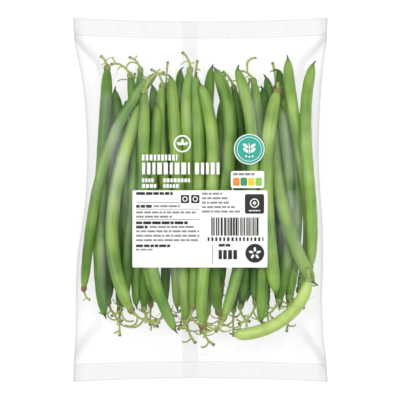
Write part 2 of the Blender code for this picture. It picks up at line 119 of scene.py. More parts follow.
# Soft streaks of haze over the beans as painted reflection, where the soft boxes would be mirrored, given in
# the same way.
REFLECTION_STREAKS = (
    ((106.0, 98.0), (108.0, 148.0), 6.0, 5.0, 0.13, 0.5),
    ((114.0, 128.0), (112.0, 176.0), 5.0, 4.0, 0.17, 0.4),
    ((121.0, 160.0), (104.0, 232.0), 4.0, 5.0, 0.15, 0.3),
    ((103.0, 240.0), (102.0, 292.0), 4.0, 3.0, 0.12, 0.6),
    ((148.0, 80.0), (146.0, 108.0), 5.0, 5.0, 0.10, 0.6),
    ((176.0, 88.0), (190.0, 122.0), 4.0, 4.0, 0.08, 0.6),
    ((254.0, 104.0), (258.0, 136.0), 7.0, 6.0, 0.14, 0.4),
    ((284.0, 116.0), (290.0, 176.0), 4.0, 5.0, 0.15, 0.3),
    ((291.0, 196.0), (302.0, 262.0), 5.0, 5.0, 0.17, 0.2),
    ((311.0, 84.0), (313.0, 150.0), 3.0, 3.0, 0.12, 0.6),
    ((281.0, 226.0), (288.0, 262.0), 3.0, 3.0, 0.12, 0.5),
    ((176.0, 272.0), (188.0, 304.0), 4.0, 4.0, 0.08, 0.5),
    ((240.0, 270.0), (236.0, 300.0), 5.0, 5.0, 0.07, 0.5),
)

# How light each bean is, from 0, dark green, to 1, light yellow-green: partly its own colour, partly painted
# shade, as beans lower in the pile and the back row are darker.
BEAN_TONES_AND_SHADE = {
    "low_1": 0.30, "low_2": 0.22, "low_3": 0.42, "low_4": 0.12, "low_5": 0.20, "low_6": 0.15,
    "low_7": 0.14, "mid_1": 0.30, "mid_2": 0.20, "mid_3": 0.22, "mid_4": 0.62, "mid_5": 0.45,
    "mid_6": 0.35, "mid_7": 0.20, "mid_8": 0.22, "mid_9": 0.40, "mid_10": 0.34, "high_1": 0.62,
    "high_2": 0.60, "high_3": 0.52, "high_4": 0.62, "high_5": 0.38, "high_6": 0.36, "high_7": 0.58,
    "high_8": 0.58, "high_9": 0.48, "top_1": 0.40, "top_2": 0.46, "top_3": 0.60, "top_4": 0.54,
    "top_5": 0.62, "top_6": 0.90,
}
# The back row's tone, dark in part as painted shade under the beans in front, and a random spread of tone.
BACK_TONE_AND_SHADE, TONE_SPREAD = 0.25, 0.04


def deselect_all():
    """Leaves nothing selected, so that an operator acts only on what is selected next."""
    bpy.ops.object.select_all(action="DESELECT")


def activate(piece):
    """Makes one object the only one selected, and the active one."""
    deselect_all()
    piece.select_set(True)
    bpy.context.view_layer.objects.active = piece


def apply_modifiers(piece):
    """Makes the piece's modifiers part of its mesh, from first to last."""
    activate(piece)
    for modifier in list(piece.modifiers):
        bpy.ops.object.modifier_apply(modifier=modifier.name)


def settle_place(piece):
    """Leaves the piece at the origin, unturned and unscaled, with its place in its mesh."""
    activate(piece)
    bpy.ops.object.transform_apply(location=True, rotation=True, scale=True)


def pixel_place(x, y):
    """The place in metres under a pixel of the photograph."""
    return (x - ORIGIN_PIXEL[0]) * PIXEL, (ORIGIN_PIXEL[1] - y) * PIXEL


# Materials. The noise sizes are how many waves there are to a metre.

BLOTCH_SIZE, PORE_SIZE, GRAIN_SIZE = 45.0, 1600.0, 1400.0
STREAK_SIZE, FILM_STREAK_SIZE, RIPPLE_SIZE = 900.0, 75.0, 190.0
# A pod's greens by its lightness, from 0, dark, to 1, light.
POD_GREENS = (
    (0.0, (0.036, 0.110, 0.013)),
    (0.33, (0.124, 0.264, 0.040)),
    (0.66, (0.290, 0.462, 0.096)),
    (1.0, (0.53, 0.69, 0.20)),
)
TIP_BROWN, DRY_BROWN = (0.045, 0.05, 0.018), (0.16, 0.105, 0.05)
CAP_GREEN, CAP_RUST = (0.27, 0.35, 0.10), (0.27, 0.12, 0.06)
STALK_GREEN, STALK_LIGHT = (0.28, 0.37, 0.08), (0.48, 0.54, 0.17)
CLEAR_FILM, GREY_FILM = (0.987, 0.988, 0.988), (0.82, 0.822, 0.823)
HAZE_DARK, HAZE_LIGHT = (0.80, 0.81, 0.82), (0.92, 0.93, 0.93)
FILM_IOR, MOST_SHINE, FILM_GLOSS = 1.22, 0.08, 0.14


def new_group(name, inputs, outputs):
    """An empty shader node group. An input is (name, kind, default), and an output is (name, kind)."""
    group = bpy.data.node_groups.new(name, "ShaderNodeTree")
    for socket, kind, default in inputs:
        made = group.interface.new_socket(name=socket, in_out="INPUT", socket_type=kind)
        if default is not None:
            made.default_value = default
    for socket, kind in outputs:
        group.interface.new_socket(name=socket, in_out="OUTPUT", socket_type=kind)
    return group, group.nodes.new("NodeGroupInput"), group.nodes.new("NodeGroupOutput")


def node_in(tree, kind, **values):
    """A node with its properties set."""
    node = tree.nodes.new(kind)
    for key, value in values.items():
        setattr(node, key, value)
    return node


def feed(tree, socket, value):
    """Links a socket to another one, or sets it. A colour is given without its alpha."""
    if isinstance(value, bpy.types.NodeSocket):
        tree.links.new(value, socket)
    elif socket.type == "RGBA":
        socket.default_value = (*value, 1.0)
    else:
        socket.default_value = value


def feed_all(tree, node, values):
    """Links or sets a node's sockets by their names."""
    for name, value in values.items():
        feed(tree, node.inputs[name], value)


def mix_colours(tree, share, first, second):
    """A colour mix. Each of the three may be a socket or a value. Returns its result."""
    node = node_in(tree, "ShaderNodeMix", data_type="RGBA")
    for socket, value in ((node.inputs[0], share), (node.inputs[6], first), (node.inputs[7], second)):
        feed(tree, socket, value)
    return node.outputs[2]


def mix_shaders(tree, share, first, second):
    """A mix of two shaders. Returns its result."""
    node = node_in(tree, "ShaderNodeMixShader")
    for socket, value in zip(node.inputs, (share, first, second)):
        tree.links.new(value, socket)
    return node.outputs[0]


def parts_of(tree, vector):
    """The X, Y and Z of a vector."""
    node = node_in(tree, "ShaderNodeSeparateXYZ")
    tree.links.new(vector, node.inputs[0])
    return node.outputs


def maths(tree, operation, first, second=0.0, clamp=False):
    """One operation on two sockets or values. Returns its result."""
    node = node_in(tree, "ShaderNodeMath", operation=operation, use_clamp=clamp)
    for socket, value in zip(node.inputs, (first, second)):
        feed(tree, socket, value)
    return node.outputs[0]


def vector_maths(tree, operation, first, second, output="Vector"):
    """One operation on two vectors, each a socket or a value. Returns its result."""
    node = node_in(tree, "ShaderNodeVectorMath", operation=operation)
    for socket, value in zip(node.inputs, (first, second)):
        feed(tree, socket, value)
    return node.outputs[output]


def times(tree, *factors):
    """A product of sockets and values."""
    return functools.reduce(lambda first, second: maths(tree, "MULTIPLY", first, second), factors)


def plus(tree, *terms):
    """A sum of sockets and values."""
    return functools.reduce(lambda first, second: maths(tree, "ADD", first, second), terms)


def rest_of(tree, share):
    """1 less the share."""
    return maths(tree, "SUBTRACT", 1.0, share)


def noise(tree, place, scale, detail=2.0):
    """Soft noise over a place, about 0.5 on average."""
    node = node_in(tree, "ShaderNodeTexNoise")
    feed_all(tree, node, {"Vector": place, "Scale": scale, "Detail": detail})
    return node.outputs["Fac"]


def smooth_range(tree, value, low, high):
    """0 below low, 1 above high and a soft step between."""
    node = node_in(tree, "ShaderNodeMapRange", interpolation_type="SMOOTHSTEP")
    feed_all(tree, node, {"Value": value, "From Min": low, "From Max": high})
    return node.outputs["Result"]


def mottle_group():
    """Streaks and blotches that follow a bean: reads the bean's own straight coordinates."""
    group, ins, outs = new_group(
        "bean_mottle",
        [("Place", "NodeSocketVector", None), ("Streak Size", "NodeSocketFloat", STREAK_SIZE)],
        [("Streaks", "NodeSocketFloat"), ("Blotches", "NodeSocketFloat"), ("Pores", "NodeSocketFloat")],
    )
    place = ins.outputs["Place"]
    squeeze = node_in(group, "ShaderNodeMapping")
    feed_all(group, squeeze, {"Vector": place, "Scale": (0.06, 1.0, 1.0)})
    streaks = noise(group, squeeze.outputs[0], ins.outputs["Streak Size"], 3.0)
    blotches, pores = noise(group, place, BLOTCH_SIZE), noise(group, place, PORE_SIZE)
    feed_all(group, outs, {"Streaks": streaks, "Blotches": blotches, "Pores": pores})
    return group


def new_material(name):
    """A material, its node tree and its main shader."""
    material = bpy.data.materials.new(name)
    material.use_nodes = True
    return material, material.node_tree, material.node_tree.nodes["Principled BSDF"]


def attribute(tree, name, output="Fac"):
    """What the piece's vertices hold under a name."""
    return node_in(tree, "ShaderNodeAttribute", attribute_name=name).outputs[output]


def place_mottle(tree, group):
    """The shared mottle in one material, over the bean's straight coordinates."""
    mottle = node_in(tree, "ShaderNodeGroup", node_tree=group)
    tree.links.new(attribute(tree, "straight_place", "Vector"), mottle.inputs["Place"])
    return mottle


def bump_from(tree, shader, height, strength, distance):
    """Raises the shader's surface by a height. Returns the normal."""
    bump = node_in(tree, "ShaderNodeBump")
    feed_all(tree, bump, {"Strength": strength, "Distance": distance, "Height": height})
    tree.links.new(bump.outputs["Normal"], shader.inputs["Normal"])
    return bump.outputs["Normal"]


def pod_material(mottle_tree):
    """A pod's skin: green by its tone, which is partly painted shade, streaked along the pod, blotched, and
    browned at the tip.
    """
    material, tree, shader = new_material("pod_skin")
    mottle = place_mottle(tree, mottle_tree)
    streak_shift = times(tree, maths(tree, "SUBTRACT", mottle.outputs["Streaks"], 0.5), 0.42)
    blotch_shift = maths(tree, "SUBTRACT", mottle.outputs["Blotches"], 0.5)
    # Painted shade in part: the tone is darker for beans lower in the pile. The streaks and blotches are the
    # skin's own.
    lightness = plus(tree, attribute(tree, "tone_and_shade"), streak_shift, blotch_shift)
    ramp = node_in(tree, "ShaderNodeValToRGB")
    tree.links.new(lightness, ramp.inputs["Fac"])
    stops = ramp.color_ramp.elements
    stops[0].color, stops[1].color = (*POD_GREENS[0][1], 1), (*POD_GREENS[-1][1], 1)
    for place, colour in POD_GREENS[1:-1]:
        stops.new(place).color = (*colour, 1)
    tip = smooth_range(tree, attribute(tree, "along"), 0.962, 0.990)
    colour = mix_colours(tree, times(tree, tip, 0.8), ramp.outputs["Color"], TIP_BROWN)
    roughness = plus(tree, times(tree, mottle.outputs["Blotches"], 0.25), 0.28)
    feed_all(tree, shader, {"Base Color": colour, "Roughness": roughness, "Specular IOR Level": 0.45})
    bump_from(tree, shader, mottle.outputs["Pores"], 0.12, 0.15 * MM)
    return material


def cap_material(mottle_tree):
    """The cap between pod and stalk: green, browned to a dull red in blotches."""
    material, tree, shader = new_material("bean_cap")
    mottle = place_mottle(tree, mottle_tree)
    rust = smooth_range(tree, mottle.outputs["Blotches"], 0.48, 0.66)
    colour = mix_colours(tree, rust, CAP_GREEN, CAP_RUST)
    feed_all(tree, shader, {"Base Color": colour, "Roughness": 0.6})
    bump_from(tree, shader, mottle.outputs["Streaks"], 0.5, 0.2 * MM)
    return material


def stalk_material(mottle_tree):
    """The stalk: olive green, with a dry brown end where it was torn off."""
    material, tree, shader = new_material("bean_stalk")
    mottle = place_mottle(tree, mottle_tree)
    light = mix_colours(tree, mottle.outputs["Streaks"], STALK_GREEN, STALK_LIGHT)
    dry = rest_of(tree, smooth_range(tree, attribute(tree, "along"), 0.001, 0.011))
    patches = smooth_range(tree, mottle.outputs["Blotches"], 0.55, 0.8)
    worn = maths(tree, "ADD", dry, times(tree, patches, 0.5), clamp=True)
    colour = mix_colours(tree, worn, light, DRY_BROWN)
    feed_all(tree, shader, {"Base Color": colour, "Roughness": 0.62})
    bump_from(tree, shader, mottle.outputs["Streaks"], 0.6, 0.2 * MM)
    return material


def crease_group():
    """How near a place is to a line: 1 on it, fading over one width to its left and one to its right."""
    group, ins, outs = new_group(
        "film_crease",
        [
            ("Place", "NodeSocketVector", None),
            ("Start", "NodeSocketVector", None),
            ("Run", "NodeSocketVector", None),
            ("Left Width", "NodeSocketFloat", 1 * MM),
            ("Right Width", "NodeSocketFloat", 1 * MM),
            ("Fading", "NodeSocketFloat", 1.0),
        ],
        [("Crease", "NodeSocketFloat")],
    )
    run = ins.outputs["Run"]
    away = vector_maths(group, "SUBTRACT", ins.outputs["Place"], ins.outputs["Start"])
    along = vector_maths(group, "DOT_PRODUCT", away, run, "Value")
    share = maths(group, "DIVIDE", along, vector_maths(group, "DOT_PRODUCT", run, run, "Value"), clamp=True)
    nearest = node_in(group, "ShaderNodeVectorMath", operation="SCALE")
    feed_all(group, nearest, {"Vector": run, "Scale": share})
    apart = vector_maths(group, "DISTANCE", away, nearest.outputs[0], "Value")
    turned = parts_of(group, vector_maths(group, "CROSS_PRODUCT", run, away))
    on_left = maths(group, "GREATER_THAN", turned["Z"], 0.0)
    widths = maths(group, "SUBTRACT", ins.outputs["Left Width"], ins.outputs["Right Width"])
    width = plus(group, times(group, widths, on_left), ins.outputs["Right Width"])
    squared = maths(group, "POWER", maths(group, "DIVIDE", apart, width), 2.0)
    near = maths(group, "EXPONENT", times(group, squared, -1.0))
    kept = rest_of(group, times(group, share, ins.outputs["Fading"]))
    group.links.new(times(group, near, kept), outs.inputs["Crease"])
    return group


def lines_on(tree, group, level, lines):
    """The strongest, at each level place, of soft lines over the bag's front and back."""
    strongest = 0.0
    for start, end, left_width, right_width, strength, fading in lines:
        start, end = Vector((*pixel_place(*start), 0)), Vector((*pixel_place(*end), 0))
        crease = node_in(tree, "ShaderNodeGroup", node_tree=group)
        feed_all(tree, crease, {"Place": level, "Start": start, "Run": end - start, "Fading": fading})
        widths = {"Left Width": left_width * PIXEL, "Right Width": right_width * PIXEL}
        feed_all(tree, crease, widths)
        strongest = maths(tree, "MAXIMUM", times(tree, crease.outputs["Crease"], strength), strongest)
    return strongest


def film_greys_and_shade(tree, place, coordinates):
    """How grey the film is: cloudier in its end seals and its seam, with painted shade on the seals' rims and
    ribs, by its side folds and at the folds.
    """
    x, y, across = parts_of(tree, place)
    depth = maths(tree, "SUBTRACT", maths(tree, "ABSOLUTE", y), SEAL_START)
    fold = maths(tree, "ABSOLUTE", across)
    in_seal = smooth_range(tree, depth, -0.25 * MM, 0.25 * MM)
    off_rim = smooth_range(tree, maths(tree, "ABSOLUTE", depth), 0.2 * MM, 0.8 * MM)
    outer_rim = smooth_range(tree, depth, SEAL_LENGTH - 0.9 * MM, SEAL_LENGTH - 0.2 * MM)
    # Painted shade: grey lines across each seal, in step with its ribs and broken up by noise.
    wave = maths(tree, "SINE", times(tree, depth, 2 * math.pi / RIB_PITCH))
    broken = noise(tree, vector_maths(tree, "MULTIPLY", coordinates, (1.0, 9.0, 0.0)), BLOTCH_SIZE)
    total = times(tree, wave, in_seal, smooth_range(tree, broken, 0.38, 0.62), RIB_SHADE)
    seam_left = smooth_range(tree, x, SEAM_LEFT - 0.3 * MM, SEAM_LEFT + 0.3 * MM)
    seam_right = smooth_range(tree, x, SEAM_RIGHT + 0.3 * MM, SEAM_RIGHT - 0.3 * MM)
    unpressed = rest_of(tree, times(tree, in_seal, 0.6))
    seam = times(tree, seam_left, seam_right, attribute(tree, "back"), unpressed)
    by_fold = smooth_range(tree, fold, 0.90, 1.0)
    at_fold = smooth_range(tree, fold, 0.975, 0.998)
    # The seals and the seam are cloudier film. The rims, the band by the side folds and the folds themselves
    # are painted shade.
    for mask, grey in (
        (in_seal, SEAL_GREY),
        (rest_of(tree, off_rim), RIM_SHADE),
        (outer_rim, 2 * RIM_SHADE),
        (seam, SEAM_GREY),
        (by_fold, SIDE_SHADE),
        (at_fold, FOLD_SHADE),
    ):
        total = plus(tree, total, times(tree, mask, grey))
    return total, in_seal


def vents_on(tree, level):
    """At each level place of the back: 1 inside a vent, and how grey a vent's rim is."""
    quarter = node_in(tree, "ShaderNodeVectorMath", operation="ABSOLUTE")
    tree.links.new(level, quarter.inputs[0])
    apart = vector_maths(tree, "DISTANCE", quarter.outputs[0], (VENT_X, VENT_Y, 0.0), "Value")
    back = smooth_range(tree, attribute(tree, "back"), 0.9, 1.0)
    hole = times(tree, smooth_range(tree, apart, VENT_RADIUS, VENT_RADIUS - 0.1 * MM), back)
    outside = smooth_range(tree, apart, VENT_RADIUS + 0.5 * MM, VENT_RADIUS)
    return hole, times(tree, outside, back, 0.5)


def film_material():
    """Clear film: see-through, grey where it is sealed, with painted shade at its rims, ribs, side folds and
    creases, patches and streaks of haze as painted reflection, and a gloss.
    """
    material, tree, shader = new_material("clear_film")
    coordinates = node_in(tree, "ShaderNodeTexCoord").outputs["Object"]
    drawn = vector_maths(tree, "MULTIPLY", coordinates, (1.0, 0.22, 1.0))
    streaks = noise(tree, drawn, FILM_STREAK_SIZE, 3.0)
    ripple = noise(tree, drawn, RIPPLE_SIZE)
    milky = mix_colours(tree, ripple, HAZE_DARK, HAZE_LIGHT)
    feed_all(tree, shader, {"Base Color": milky, "Roughness": 0.45})
    rippled = bump_from(tree, shader, ripple, 0.35, 0.25 * MM)
    sealed, in_seal = film_greys_and_shade(tree, attribute(tree, "film_place", "Vector"), coordinates)
    level = vector_maths(tree, "MULTIPLY", coordinates, (1.0, 1.0, 0.0))
    line_tree = crease_group()
    hole, rim = vents_on(tree, level)
    kept = rest_of(tree, hole)
    # The grey: cloudier film in the seals and seam, and painted shade at the seal rims and ribs, by the side
    # folds and along the creases.
    grey = maths(tree, "ADD", sealed, lines_on(tree, line_tree, level, CREASES), clamp=True)
    grey = times(tree, maths(tree, "ADD", grey, rim, clamp=True), kept)
    # Painted reflection: noise patches and drawn streaks of milky haze where soft boxes would be mirrored.
    # The least haze and the seals' milkiness are the film's own.
    patches = times(tree, smooth_range(tree, streaks, 0.50, 0.75), REFLECTION_PATCHES)
    uneven = smooth_range(tree, streaks, 0.25, 0.60)
    drawn_reflections = times(tree, lines_on(tree, line_tree, level, REFLECTION_STREAKS), uneven)
    haze_and_reflections = plus(tree, patches, drawn_reflections, LEAST_HAZE, times(tree, in_seal, SEAL_HAZE))
    haze_and_reflections = times(tree, haze_and_reflections, kept)
    clear = node_in(tree, "ShaderNodeBsdfTransparent")
    tree.links.new(mix_colours(tree, grey, CLEAR_FILM, GREY_FILM), clear.inputs["Color"])
    body = mix_shaders(tree, haze_and_reflections, clear.outputs[0], shader.outputs[0])
    gloss = node_in(tree, "ShaderNodeBsdfGlossy")
    feed_all(tree, gloss, {"Roughness": FILM_GLOSS, "Normal": rippled})
    fresnel = node_in(tree, "ShaderNodeFresnel")
    fresnel.inputs["IOR"].default_value = FILM_IOR
    shine = times(tree, maths(tree, "MINIMUM", fresnel.outputs[0], MOST_SHINE), kept)
    whole = mix_shaders(tree, shine, body, gloss.outputs[0])
    tree.links.new(whole, tree.nodes["Material Output"].inputs["Surface"])
    return material


def ink_material(name, colour):
    """Printing ink: one colour, laid a little unevenly on the film."""
    material, tree, shader = new_material(name)
    grain = noise(tree, node_in(tree, "ShaderNodeTexCoord").outputs["Object"], GRAIN_SIZE)
    paler = tuple(min(1.0, part * 1.06 + 0.01) for part in colour)
    feed_all(tree, shader, {"Base Color": mix_colours(tree, grain, colour, paler), "Roughness": 0.4})
    return material


# The beans. A straight one is modelled once in six shapes, and then bent along each solid's middle line.

BEAN_SIDES = 20
SOLID_SIDES = 8
MODEL_STALK, MODEL_CAP, MODEL_POD, MODEL_TAIL = 12 * MM, 2.2 * MM, 130 * MM, 4.5 * MM
MODEL_RADIUS = 3.5 * MM
POD_START = MODEL_STALK + MODEL_CAP
POD_SHARES = (0.02, 0.065, 0.15, 0.30, 0.47, 0.64, 0.80, 0.90, 0.96, 1.00)
POD_RADII = (0.62, 0.85, 0.96, 1.00, 0.98, 1.00, 0.98, 0.95, 0.84, 0.50)
STALK_OUTLINE = (
    (0.0, 0.82), (0.5, 0.96), (1.3, 0.88), (2.4, 0.72), (4.5, 0.64), (7.0, 0.62), (9.2, 0.68), (11.0, 0.80),
    (11.9, 1.00), (12.2, 1.42), (12.7, 1.80), (13.6, 1.98), (14.6, 1.96), (15.1, 1.84), (15.4, 1.76),
    (16.0, 1.84),
)
NECK_RADIUS, TAIL_RADII = 1.8 * MM, (0.62 * MM, 0.30 * MM)
# Where the pod's rings lie on the straight bean, in millimetres: closer together where it tapers.
POD_RINGS = np.concatenate([np.arange(17.5, 137, 2.2), np.arange(137.2, 148.4, 1.0), [148.6]])
WIDER_THAN_HIGH = 1.02, 0.97
CAP_FACES_START, CAP_RIM_START, CAP_FACES_END = 12.0 * MM, 14.9 * MM, 15.2 * MM
CAP_POINTS, CAP_POINT_LENGTH = 5, 0.9 * MM
SEAM_RIDGES, RIDGE_SHARPNESS = (0.07, 0.05), 24  # the two ridges' heights are shares of the pod's radius
MOST_ROLL = 0.45  # radians, either way
MOST_PATTERN_SHIFT = 9  # metres along the pattern, so that no two beans have the same streaks
SEED_PITCH = 11 * MM
TWIG_RADIUS, TWIG_STEPS, TWIG_SIDES = 0.46 * MM, 6, 8
TWIG_TAPER, TWIG_KNOB = 0.95, 1.35  # how much wider each step of a twig ends than it starts, and its last
CLEAR_OF_BACK = 0.5 * MM  # a twig that would lie lower, through the film's back, is pressed up to this
STALK_SHARE, TAIL_SHARE = 0.14, 0.94  # of a bean's length: where its fine stalk ends and its fine tail starts
# The straight beans: swelling at each seed, the seam's turn in degrees, and the side twigs on the stalk.
# A twig is (distance from the stalk's cut end and length in millimetres, lean from the way to the cut end,
# and how much more it leans at each step). The first are for stalks at the bag's top, the rest for its foot.
TOP_SHAPES = (
    (0.004, 10, ((9.0, 5.0, 50, 14),)),
    (0.012, 65, ((8.0, 6.0, 60, 15), (10.0, 3.0, -60, -14))),
    (0.016, 50, ((5.0, 3.0, -60, -10),)),
)
FOOT_SHAPES = (
    (0.030, 85, ((8.5, 13.0, -50, -14), (4.0, 6.0, 70, 10), (10.5, 6.0, 60, 20))),
    (0.008, 35, ((7.0, 12.0, 55, 13), (9.5, 9.0, -60, -16), (3.0, 4.0, -70, 0))),
    (0.020, 25, ((9.5, 15.0, 60, 12), (6.5, 9.0, -50, -15), (4.0, 4.0, 75, 0), (2.0, 3.5, -60, 0))),
)
# Beans at the top whose stalks are as twiggy as those at the foot, and beans at the foot, close to a side
# fold, whose stalks are as bare as those at the top.
TWIGGY_TOPS = ("bean_back_3", "bean_mid_2", "bean_back_11", "bean_high_6")
BARE_FEET = ("bean_top_1", "bean_top_6")


def smooth_through(x, knots, values):
    """A smooth curve through a few knots, with no overshoot."""
    knots, values = np.array(knots), np.array(values)
    slopes = np.diff(values) / np.diff(knots)
    product, total = slopes[1:] * slopes[:-1], slopes[1:] + slopes[:-1]
    inner = np.where(product > 0, 2 * product / np.where(total == 0, 1.0, total), 0.0)
    at_knots = np.concatenate([[slopes[0]], inner, [slopes[-1]]])
    k = np.clip(np.searchsorted(knots, x) - 1, 0, len(slopes) - 1)
    run = knots[k + 1] - knots[k]
    t = (x - knots[k]) / run
    return (
        (2 * t**3 - 3 * t**2 + 1) * values[k]
        + (t**3 - 2 * t**2 + t) * run * at_knots[k]
        + (3 * t**2 - 2 * t**3) * values[k + 1]
        + (t**3 - t**2) * run * at_knots[k + 1]
    )


def bean_outline(seeds):
    """The straight bean's rings, as (place, radius across, radius up), with a swelling at each seed."""
    rings = [(place * MM, radius * MM, radius * MM) for place, radius in STALK_OUTLINE]
    knots = [MODEL_STALK + 4 * MM, *(POD_START + share * MODEL_POD for share in POD_SHARES)]
    knots += [POD_START + MODEL_POD + MODEL_TAIL * share for share in (0.5, 1.0)]
    radii = [NECK_RADIUS, *(share * MODEL_RADIUS for share in POD_RADII), *TAIL_RADII]
    for place in POD_RINGS * MM:
        radius = float(smooth_through(place, knots, radii))
        swelling = 1 + seeds * math.sin(2 * math.pi * place / SEED_PITCH) * (radius > 0.8 * MODEL_RADIUS)
        rings.append((float(place), radius * WIDER_THAN_HIGH[0] * swelling, radius * WIDER_THAN_HIGH[1]))
    return rings


def add_twig(root, length, lean, curl):
    """A side twig drawn out from inside the stalk, bending as it goes, with a torn knob at its end."""
    end = Vector((root * MM, 0, 0))
    turned = (0, math.pi / 2, math.radians(180 - lean))
    bpy.ops.mesh.primitive_circle_add(
        vertices=TWIG_SIDES, radius=TWIG_RADIUS, fill_type="NGON", location=end, rotation=turned
    )
    for k in range(TWIG_STEPS):
        way = math.radians(180 - lean - curl * k)
        step = Vector((math.cos(way), math.sin(way), 0)) * length * MM / TWIG_STEPS
        end = end + step
        bpy.ops.mesh.extrude_region_move(TRANSFORM_OT_translate={"value": step})
        if k:
            bpy.ops.transform.rotate(value=math.radians(curl), orient_axis="Z", center_override=end)
        wider = TWIG_KNOB if k == TWIG_STEPS - 1 else TWIG_TAPER
        bpy.ops.transform.resize(value=(wider, wider, wider), center_override=end)


def straight_bean(name, seeds, seam_turn, twigs):
    """Draws a bean out from its stalk's cut end to its tail, ring by ring."""
    rings = bean_outline(seeds)
    bpy.ops.mesh.primitive_circle_add(vertices=BEAN_SIDES, radius=rings[0][1], rotation=(0, math.pi / 2, 0))
    bean = bpy.context.object
    bean.name = name
    bpy.ops.object.transform_apply(rotation=True)
    bpy.ops.object.mode_set(mode="EDIT")
    bpy.ops.mesh.select_all(action="SELECT")
    for (place, across, up), (next_place, next_across, next_up) in zip(rings, rings[1:]):
        bpy.ops.mesh.extrude_region_move(TRANSFORM_OT_translate={"value": (next_place - place, 0, 0)})
        grow = (1, next_across / across, next_up / up)
        bpy.ops.transform.resize(value=grow, center_override=(next_place, 0, 0))
    bpy.ops.mesh.extrude_region_move(TRANSFORM_OT_translate={"value": (0.3 * MM, 0, 0)})
    bpy.ops.mesh.merge(type="CENTER")
    bpy.ops.mesh.select_all(action="DESELECT")
    bpy.ops.mesh.select_non_manifold()
    bpy.ops.mesh.extrude_region_move(TRANSFORM_OT_translate={"value": (0.15 * MM, 0, 0)})
    bpy.ops.transform.resize(value=(1, 0.6, 0.6), center_override=(0, 0, 0))
    bpy.ops.mesh.extrude_region_move(TRANSFORM_OT_translate={"value": (0, 0, 0)})
    bpy.ops.mesh.merge(type="CENTER")
    for twig in twigs:
        add_twig(*twig)
    bpy.ops.object.mode_set(mode="OBJECT")
    shape_cap_and_seam(bean, math.radians(seam_turn))
    bpy.ops.object.mode_set(mode="EDIT")
    bpy.ops.mesh.select_all(action="SELECT")
    bpy.ops.mesh.normals_make_consistent(inside=False)
    bpy.ops.object.mode_set(mode="OBJECT")
    bpy.ops.object.shade_smooth()
    return bean


def shape_cap_and_seam(bean, seam_turn):
    """Points on the cap's rim, and the fine ridges that run down a pod where its halves meet."""
    for vert in bean.data.vertices:
        turn = math.atan2(vert.co.z, vert.co.y) - seam_turn
        if CAP_RIM_START < vert.co.x < CAP_FACES_END:
            vert.co.x += CAP_POINT_LENGTH * max(0.0, math.cos(CAP_POINTS * turn))
        if vert.co.x > CAP_FACES_END:
            facing = math.cos(turn)
            height = SEAM_RIDGES[0] if facing > 0 else SEAM_RIDGES[1]
            ridge = height * abs(facing) ** RIDGE_SHARPNESS
            vert.co.y *= 1 + ridge
            vert.co.z *= 1 + ridge


def bean_line(node):
    """Ring centres and radii of a bean's solid, from its stalk's cut end to its tail."""
    bm = bmesh.new()
    bm.from_mesh(bpy.data.objects[node].data)
    bmesh.ops.remove_doubles(bm, verts=bm.verts, dist=0.001 * MM)
    for pole in (v for v in bm.verts if len(v.link_edges) == SOLID_SIDES):
        seen, rings = {pole}, [[pole]]
        while len(rings[-1]) == SOLID_SIDES or len(rings) == 1:
            rings.append(list({e.other_vert(v) for v in rings[-1] for e in v.link_edges} - seen))
            seen.update(rings[-1])
        rings = [ring for ring in rings if len(ring) == SOLID_SIDES]
        if len(rings) == len(model_stations()):
            break
    else:
        sys.exit(f"{node}: no line of rings found")
    centres = [sum((v.co for v in ring), Vector()) / SOLID_SIDES for ring in rings]
    radii = [max((v.co - centre).length for v in ring) for ring, centre in zip(rings, centres)]
    bm.free()
    if radii[0] > radii[-1]:
        return np.array(centres), np.array(radii)
    return np.array(centres[::-1]), np.array(radii[::-1])


def model_stations():
    """Where the solid's rings lie on the straight bean."""
    pod = [POD_START + share * MODEL_POD for share in POD_SHARES]
    tail = [POD_START + MODEL_POD + share * MODEL_TAIL for share in (0.5, 1.0)]
    return [0.0, 0.4 * MODEL_STALK, MODEL_STALK, MODEL_STALK + 0.35 * MODEL_CAP, *pod, *tail]


def middle_line(points):
    """A curve through the points, for a straight piece to be bent along."""
    curve = bpy.data.curves.new("middle_line", "CURVE")
    curve.dimensions = "3D"
    curve.twist_mode = "Z_UP"
    curve.use_stretch = curve.use_deform_bounds = True
    curve.resolution_u = 10
    spline = curve.splines.new("BEZIER")
    spline.bezier_points.add(len(points) - 1)
    for knot, point in zip(spline.bezier_points, points):
        knot.co = point
        knot.handle_left_type = knot.handle_right_type = "AUTO"
    line = bpy.data.objects.new("middle_line", curve)
    bpy.context.scene.collection.objects.link(line)
    return line


